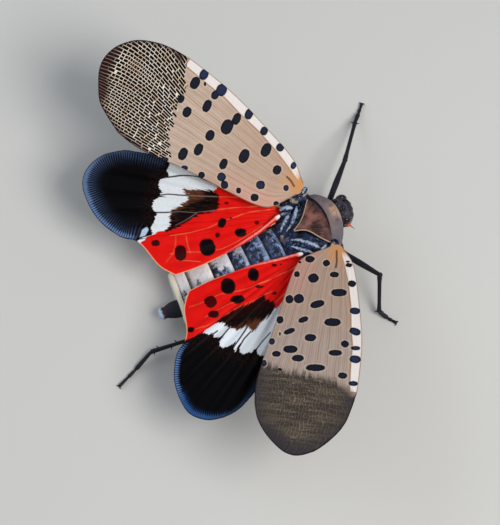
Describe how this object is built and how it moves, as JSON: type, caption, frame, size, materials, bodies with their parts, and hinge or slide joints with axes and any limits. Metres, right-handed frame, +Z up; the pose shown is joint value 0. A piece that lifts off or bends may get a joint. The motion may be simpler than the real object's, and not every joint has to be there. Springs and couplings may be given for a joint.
{
  "type": "spotted lanternfly",
  "caption": "Life-size spotted lanternfly standing on its feet with spotted tan forewings and red, white and black hindwings raised and spread.",
  "frame": {"origin": "centre of the bounding box, at the floor under the feet", "axes": "+Z up, the head towards -Y, the animal's own left towards +X"},
  "size_m": [0.0432, 0.0342, 0.0126],
  "materials": {
    "forewing_membrane": "satin",
    "hindwing_membrane": "satin",
    "brown_cuticle": "satin",
    "waxy_abdomen": "matte",
    "black_cuticle": "satin",
    "eye": "gloss",
    "antenna": "satin"
  },
  "bodies": {
    "root": {"abdomen": "waxy_abdomen", "antenna_left": "antenna", "antenna_right": "antenna", "beak": "black_cuticle", "eye_left": "eye", "eye_right": "eye", "forewing_left": "forewing_membrane", "forewing_right": "forewing_membrane", "head": "brown_cuticle", "hindwing_left": "hindwing_membrane", "hindwing_right": "hindwing_membrane", "leg_front_left_foot": "black_cuticle", "leg_front_left_shin": "black_cuticle", "leg_front_left_thigh": "black_cuticle", "leg_front_right_foot": "black_cuticle", "leg_front_right_shin": "black_cuticle", "leg_front_right_thigh": "black_cuticle", "leg_hind_left_foot": "black_cuticle", "leg_hind_left_shin": "black_cuticle", "leg_hind_left_thigh": "black_cuticle", "leg_hind_right_foot": "black_cuticle", "leg_hind_right_shin": "black_cuticle", "leg_hind_right_thigh": "black_cuticle", "leg_middle_left_foot": "black_cuticle", "leg_middle_left_shin": "black_cuticle", "leg_middle_left_thigh": "black_cuticle", "leg_middle_right_foot": "black_cuticle", "leg_middle_right_shin": "black_cuticle", "leg_middle_right_thigh": "black_cuticle", "mesonotum": "brown_cuticle", "mesothorax": "brown_cuticle", "metathorax": "brown_cuticle", "pronotum": "brown_cuticle", "tail_tip": "black_cuticle"}
  },
  "joints": []
}
